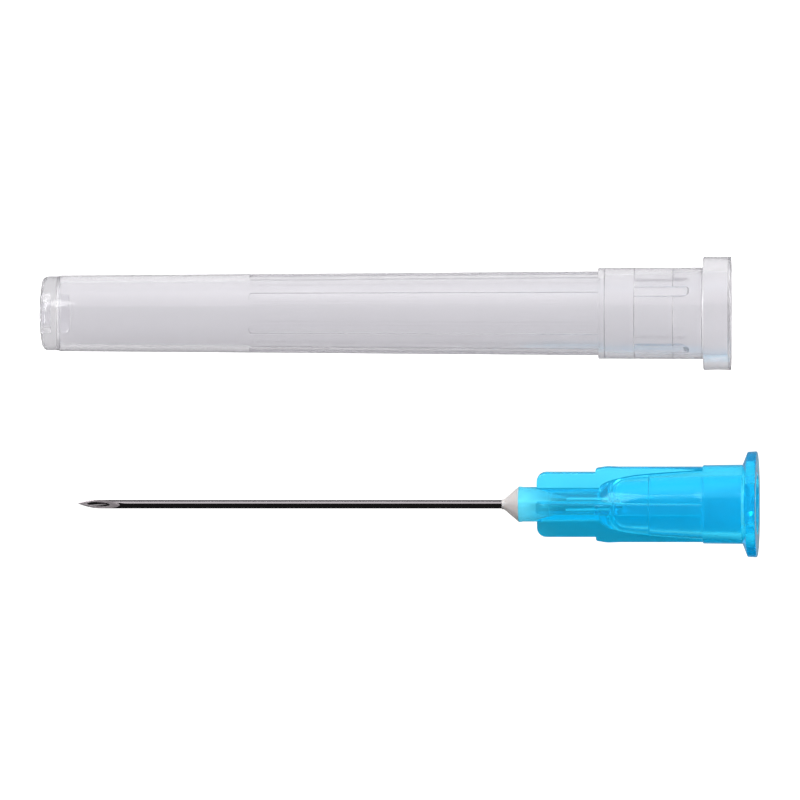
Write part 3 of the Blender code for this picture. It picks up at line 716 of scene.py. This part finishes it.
def cap_hollow():
    """The hollow of the cap, which passes round the boss behind the moulding gate."""
    boss_radius = GATE_RADIUS + GATE_WALL
    boss_top = CAP_END_WALL + GATE_BOSS_HEIGHT
    corners = [
        (0, CAP_LENGTH + OVERSHOOT, 0),
        (CAP_MOUTH_BORE + CAP_MOUTH_LEAD_IN + OVERSHOOT, CAP_LENGTH + OVERSHOOT, 0),
        (CAP_MOUTH_BORE, CAP_LENGTH - CAP_MOUTH_LEAD_IN, MOULD_EDGE),
        (CAP_MOUTH_BORE, CAP_FLANGE_FRONT, 0),
        (CAP_COLLAR_BORE, CAP_FLANGE_FRONT - (CAP_MOUTH_BORE - CAP_COLLAR_BORE), 0),
        (CAP_COLLAR_BORE, CAP_COLLAR_FRONT, 0),
        (CAP_RIB_BORE + CAP_COLLAR_LEAD_RISE, CAP_COLLAR_FRONT - CAP_BORE_STEP_RUN, 0),
        (CAP_RIB_BORE, CAP_COLLAR_FRONT - CAP_COLLAR_LEAD, 0),
        (CAP_RIB_BORE, RIB_FRONT, 0),
        (CAP_FIN_BORE, RIB_FRONT - CAP_BORE_STEP_RUN, 0),
        (CAP_FIN_BORE, CAP_SHOULDER, MOULD_EDGE),
        (CAP_NOSE_BORE, CAP_SHOULDER, MOULD_EDGE),
        (cap_radius(CAP_END_WALL) - CAP_WALL, CAP_END_WALL, CAP_END_CORNER),
        (boss_radius, CAP_END_WALL, GATE_WALL / 2),
        (boss_radius, boss_top, GATE_WALL),
        (0, boss_top, 0),
    ]
    return lathed("cap_hollow", corners, CAP_FACETS, CAP_RING_SPACING)


def rib(index):
    """A rib in the bore that runs between two fins and ends in a round nose towards the mouth."""
    outer = (CAP_COLLAR_BORE + CAP_WIDE_RADIUS) / 2
    rear = RIB_FRONT + RIB_LENGTH
    stations = [(RIB_FRONT, RIB_INNER_RADIUS, RIB_WIDTH / 2)]
    for step in range(RIB_NOSE_STEPS):
        angle = math.pi / 2 * step / RIB_NOSE_STEPS
        z = rear - RIB_NOSE_LENGTH * (1 - math.sin(angle))
        inner = outer - (outer - RIB_INNER_RADIUS) * math.cos(angle)
        rounded_part = max(z - rear + RIB_WIDTH / 2, 0)
        stations.append((z, inner, math.sqrt((RIB_WIDTH / 2) ** 2 - rounded_part**2)))
    bm = bmesh.new()
    rings = []
    for z, inner, half in stations:
        edge = min(RIB_EDGE, half / 2)
        side = ((outer, half), (inner + edge, half), (inner, half - edge))
        section = [*side, *((x, -y) for x, y in reversed(side))]
        rings.append([bm.verts.new((x, y, z)) for x, y in section])
    for near, far in zip(rings, rings[1:]):
        for i in range(len(near)):
            bm.faces.new((near[i - 1], near[i], far[i], far[i - 1]))
    bm.faces.new(rings[0])
    bm.faces.new(rings[-1])
    obj = new_object(f"rib_{index}", bm)
    obj.rotation_euler.z = math.pi - RIB_ROLL + 2 * math.pi * index / RIB_COUNT
    return obj


def make_cap():
    cap = make_cap_blank()
    combine(cap, "UNION", wide_part())
    combine(cap, "DIFFERENCE", cap_hollow())
    combine(cap, "UNION", *[rib(i) for i in range(RIB_COUNT)])
    smooth(cap)
    return cap


def new_material(name):
    """A material with its nodes, its links and its shader."""
    material = bpy.data.materials.new(name)
    material.use_nodes = True
    nodes, links = material.node_tree.nodes, material.node_tree.links
    return material, nodes, links, nodes["Principled BSDF"]


def piece_space(nodes, links, place):
    """A mapping from the object to axes that lie as the piece's own do."""
    coordinates = nodes.new("ShaderNodeTexCoord")
    mapping = nodes.new("ShaderNodeMapping")
    mapping.vector_type = "TEXTURE"
    mapping.inputs["Rotation"].default_value = place.to_euler()
    links.new(coordinates.outputs["Object"], mapping.inputs["Vector"])
    return mapping


def along_noise(nodes, links, place, stretch, scale):
    """A noise that lies in the piece and runs this many times longer along its axis than across it."""
    mapping = piece_space(nodes, links, place)
    mapping.inputs["Scale"].default_value = (1, 1, stretch)
    texture = nodes.new("ShaderNodeTexNoise")
    texture.inputs["Scale"].default_value = scale
    texture.inputs["Detail"].default_value = NOISE_DETAIL
    links.new(mapping.outputs["Vector"], texture.inputs["Vector"])
    return texture.outputs["Fac"]


def spread(nodes, links, value, span, result, socket):
    """Links a value to a socket, so that its span from low to high becomes the result's."""
    mapped = nodes.new("ShaderNodeMapRange")
    mapped.inputs["From Min"].default_value, mapped.inputs["From Max"].default_value = span
    mapped.inputs["To Min"].default_value, mapped.inputs["To Max"].default_value = result
    links.new(value, mapped.inputs["Value"])
    links.new(mapped.outputs["Result"], socket)


def bump(nodes, links, shader, height, distance, strength):
    """Roughens the shader's surface by a height that is a node's output."""
    node = nodes.new("ShaderNodeBump")
    node.inputs["Distance"].default_value = distance
    node.inputs["Strength"].default_value = strength
    links.new(height, node.inputs["Height"])
    links.new(node.outputs["Normal"], shader.inputs["Normal"])


def clear_plastic(name, place, colour, transmission, roughness, gloss, thick_colour, density, painted_glow):
    """A see-through plastic, slightly uneven along the piece, with a faint painted glow standing in for the
    light it scatters.
    """
    material, nodes, links, shader = new_material(name)
    shader.inputs["Base Color"].default_value = (*colour, 1)
    shader.inputs["Transmission Weight"].default_value = transmission
    shader.inputs["IOR"].default_value = PLASTIC_IOR
    shader.inputs["Specular Tint"].default_value = (*gloss, 1)
    # Painted glow: an even emission that stands in for light scattered inside the plastic
    shader.inputs["Emission Color"].default_value = (*painted_glow, 1)
    shader.inputs["Emission Strength"].default_value = 1
    volume = nodes.new("ShaderNodeVolumeAbsorption")
    volume.inputs["Color"].default_value = (*thick_colour, 1)
    volume.inputs["Density"].default_value = density
    links.new(volume.outputs["Volume"], nodes["Material Output"].inputs["Volume"])
    flow = along_noise(nodes, links, place, FLOW_STRETCH, FLOW_SCALE)
    roughnesses = [share * roughness for share in FLOW_SPREAD]
    spread(nodes, links, flow, NOISE_SPAN, roughnesses, shader.inputs["Roughness"])
    bump(nodes, links, shader, flow, PLASTIC_BUMP, PLASTIC_BUMP_STRENGTH)
    return material


def steel(name, place, colour, metallic, roughness, stretch, scale):
    """Bare steel with fine lines, drawn along the tube or ground across it."""
    material, nodes, links, shader = new_material(name)
    shader.inputs["Base Color"].default_value = (*colour, 1)
    shader.inputs["Metallic"].default_value = metallic
    lines = along_noise(nodes, links, place, stretch, scale)
    roughnesses = [share * roughness for share in LINE_SPREAD]
    spread(nodes, links, lines, NOISE_SPAN, roughnesses, shader.inputs["Roughness"])
    bump(nodes, links, shader, lines, STEEL_BUMP, STEEL_BUMP_STRENGTH)
    return material


def resin(name, place):
    """The off-white resin of the bead."""
    material, nodes, links, shader = new_material(name)
    shader.inputs["Base Color"].default_value = (*RESIN_COLOUR, 1)
    shader.inputs["Subsurface Weight"].default_value = RESIN_SUBSURFACE
    shader.inputs["Subsurface Radius"].default_value = RESIN_SUBSURFACE_RADIUS
    shader.inputs["Subsurface Scale"].default_value = RESIN_SUBSURFACE_SCALE
    grain = along_noise(nodes, links, place, 1, GRAIN_SCALE)
    spread(nodes, links, grain, NOISE_SPAN, RESIN_ROUGHNESS, shader.inputs["Roughness"])
    bump(nodes, links, shader, grain, PLASTIC_BUMP, RESIN_BUMP_STRENGTH)
    return material


def well_resin(name, place):
    """The resin inside the nose, milky at the front and clearer towards the bottom of the well,
    with a painted white glow that is strongest at the front and fades out towards the bottom.
    """
    material, nodes, links, shader = new_material(name)
    shader.inputs["Base Color"].default_value = (*WELL_COLOUR, 1)
    shader.inputs["Roughness"].default_value = WELL_ROUGHNESS
    shader.inputs["IOR"].default_value = PLASTIC_IOR
    shader.inputs["Emission Color"].default_value = (1, 1, 1, 1)
    mapping = piece_space(nodes, links, place)
    mapping.inputs["Location"].default_value = place.translation
    parts = nodes.new("ShaderNodeSeparateXYZ")
    links.new(mapping.outputs["Vector"], parts.inputs["Vector"])
    depth = parts.outputs["Z"]
    spread(nodes, links, depth, WELL_SPAN, WELL_TRANSMISSION, shader.inputs["Transmission Weight"])
    # Painted glow: white emission, strongest at the front of the well and gone towards its bottom
    spread(nodes, links, depth, WELL_SPAN, WELL_PAINTED_GLOW, shader.inputs["Emission Strength"])
    return material


def axis_matrix(mount_name, off_axis, length):
    """The place of a piece whose local Z runs to the face that the record's mount names."""
    mount = next(m for m in frame["record"]["mounts"] if m["name"] == mount_name)
    along = Vector(mount["axis"])
    start = Vector(mount["pos_m"]) - Vector((0, off_axis, 0)) - along * length
    return Matrix.Translation(start) @ Matrix.Rotation(math.atan2(along.x, along.z), 4, "Y")


def install(piece, place, node):
    """Puts a piece where the CAD node that it stands for is, with its place kept in its mesh."""
    piece.data.transform(place)
    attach(piece, "root")
    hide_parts(node)


def make_pieces():
    """The four pieces with their materials, each where its CAD node is."""
    needle_place = axis_matrix("hub_rear_face", HUB_MOUNT_OFFSET, HUB_LENGTH)
    cap_place = axis_matrix("cap_mouth_face", CAP_MOUNT_OFFSET, CAP_LENGTH)
    hub, adhesive, cap = make_hub(), make_adhesive(), make_cap()
    cannula = make_cannula(
        steel(
            "drawn_steel", needle_place, TUBE_COLOUR, TUBE_METALLIC, TUBE_ROUGHNESS,
            TUBE_LINE_STRETCH, TUBE_LINE_SCALE,
        ),
        steel(
            "ground_steel", needle_place, GROUND_COLOUR, GROUND_METALLIC, GROUND_ROUGHNESS,
            GROUND_LINE_STRETCH, GROUND_LINE_SCALE,
        ),
    )
    hub.data.materials.append(
        clear_plastic(
            "blue_polypropylene", needle_place, HUB_COLOUR, HUB_TRANSMISSION, HUB_ROUGHNESS, HUB_GLOSS,
            HUB_THICK_COLOUR, HUB_DENSITY, HUB_PAINTED_GLOW,
        )
    )
    adhesive.data.materials.append(resin("epoxy", needle_place))
    adhesive.data.materials.append(well_resin("clear_epoxy", needle_place))
    for face in adhesive.data.polygons:
        face.material_index = int(face.center.z > 0)
    cap.data.materials.append(
        clear_plastic(
            "clear_polypropylene", cap_place, CAP_COLOUR, CAP_TRANSMISSION, CAP_ROUGHNESS, CAP_GLOSS,
            CAP_THICK_COLOUR, CAP_DENSITY, CAP_PAINTED_GLOW,
        )
    )
    install(hub, needle_place, "needle_hub")
    install(cannula, needle_place, "cannula")
    install(adhesive, needle_place, "adhesive")
    install(cap, cap_place, "protective_cap")


def make_floor(name, z, side, grey, radiance):
    """A floor on the -Y or the +Y side, or on both where side is 0."""
    bm = bmesh.new()
    half = FLOOR_SIZE / 2
    low, high = (-half, 0) if side < 0 else (0, half) if side else (-half, half)
    corners = ((-half, low), (half, low), (half, high), (-half, high))
    bm.faces.new([bm.verts.new((x, y, z)) for x, y in corners])
    floor = new_object(name, bm)
    material, _, _, shader = new_material(name)
    shader.inputs["Base Color"].default_value = (grey, grey, grey, 1)
    shader.inputs["Roughness"].default_value = FLOOR_ROUGHNESS
    shader.inputs["Specular IOR Level"].default_value = 0
    shader.inputs["Emission Color"].default_value = (1, 1, 1, 1)
    shader.inputs["Emission Strength"].default_value = radiance
    floor.data.materials.append(material)
    return floor


def calculated(nodes, operation, *values):
    """The output of a math node with its inputs set or linked."""
    item = nodes.new("ShaderNodeMath")
    item.operation = operation
    for socket, value in zip(item.inputs, values):
        if isinstance(value, bpy.types.NodeSocket):
            item.id_data.links.new(value, socket)
        else:
            socket.default_value = value
    return item.outputs["Value"]


def make_room():
    """A dark room with one bright strip above the +Y side and dimmer walls below it."""
    world = bpy.data.worlds.new("room")
    world.use_nodes = True
    nodes, links = world.node_tree.nodes, world.node_tree.links
    coordinates = nodes.new("ShaderNodeTexCoord")
    parts = nodes.new("ShaderNodeSeparateXYZ")
    links.new(coordinates.outputs["Generated"], parts.inputs["Vector"])
    angle = calculated(nodes, "ARCTAN2", parts.outputs["Y"], parts.outputs["Z"])
    ramp = nodes.new("ShaderNodeValToRGB")
    stops = ramp.color_ramp
    while len(stops.elements) < len(ROOM):
        stops.elements.new(0.5)
    for element, (degrees, radiance) in zip(stops.elements, ROOM):
        element.position = 0.5 + degrees / 360
        element.color = (radiance / ROOM_PEAK,) * 3 + (1,)
    turned = calculated(nodes, "MULTIPLY_ADD", angle, 1 / (2 * math.pi), 0.5)
    links.new(turned, ramp.inputs["Fac"])
    background = nodes["Background"]
    links.new(ramp.outputs["Color"], background.inputs["Color"])
    background.inputs["Strength"].default_value = ROOM_PEAK
    bpy.context.scene.world = world


def make_softbox(name, turn):
    """A square lamp that faces the pieces from above, turned this far from +Y."""
    light = bpy.data.lights.new(name, "AREA")
    light.size = SOFTBOX_SIZE
    light.energy = SOFTBOX_RADIANCE * math.pi * SOFTBOX_SIZE**2
    softbox = bpy.data.objects.new(name, light)
    bpy.context.scene.collection.objects.link(softbox)
    softbox.matrix_world = (
        Matrix.Rotation(turn, 4, "Z")
        @ Matrix.Rotation(-SOFTBOX_TILT, 4, "X")
        @ Matrix.Translation((0, 0, SOFTBOX_DISTANCE))
    )


def glow(name, radiance):
    """A black material that gives off white light."""
    material, _, _, shader = new_material(name)
    shader.inputs["Base Color"].default_value = (0, 0, 0, 1)
    shader.inputs["Specular IOR Level"].default_value = 0
    shader.inputs["Emission Color"].default_value = (1, 1, 1, 1)
    shader.inputs["Emission Strength"].default_value = radiance
    return material


def make_tent():
    """A pale tent round the room that shows only through the plastics."""
    bm = bmesh.new()
    bmesh.ops.create_uvsphere(
        bm, u_segments=TENT_SEGMENTS, v_segments=TENT_SEGMENTS // 2, radius=TENT_RADIUS
    )
    tent = new_object("tent", bm)
    tent.data.materials.append(glow("tent", TENT_GLOW))
    tent.visible_camera = tent.visible_diffuse = tent.visible_glossy = tent.visible_shadow = False


def make_stage():
    """A white floor for the camera, shaded ones for what shows through the plastics, and the light."""
    white = make_floor("white_floor", -FLOOR_DROP, 0, WHITE_FLOOR_GREY, WHITE_FLOOR_GLOW)
    white.visible_diffuse = white.visible_glossy = white.visible_transmission = False
    white.visible_shadow = False
    needle = ("needle_floor", -1, NEEDLE_FLOOR_GREY, NEEDLE_FLOOR_GLOW)
    cap = ("cap_floor", 1, CAP_FLOOR_GREY, CAP_FLOOR_GLOW)
    for name, side, grey, radiance in (needle, cap):
        shaded = make_floor(name, 0, side, grey, radiance)
        shaded.visible_camera = shaded.visible_glossy = False
    make_room()
    make_tent()
    for name, turn in zip(("left_softbox", "right_softbox"), SOFTBOX_TURNS):
        make_softbox(name, turn)


def make_camera():
    """Straight above the middle of the photograph, with the photograph's width in view."""
    data = bpy.data.cameras.new("camera")
    data.sensor_width = SENSOR_WIDTH
    data.lens = SENSOR_WIDTH * (CAMERA_HEIGHT - VIEW_LEVEL) / VIEW_WIDTH
    camera = bpy.data.objects.new("camera", data)
    camera.location = VIEW_CENTRE + Vector((0, 0, CAMERA_HEIGHT))
    bpy.context.scene.collection.objects.link(camera)
    bpy.context.scene.camera = camera
    bpy.context.scene.view_settings.view_transform = "Standard"


make_pieces()
make_stage()
make_camera()
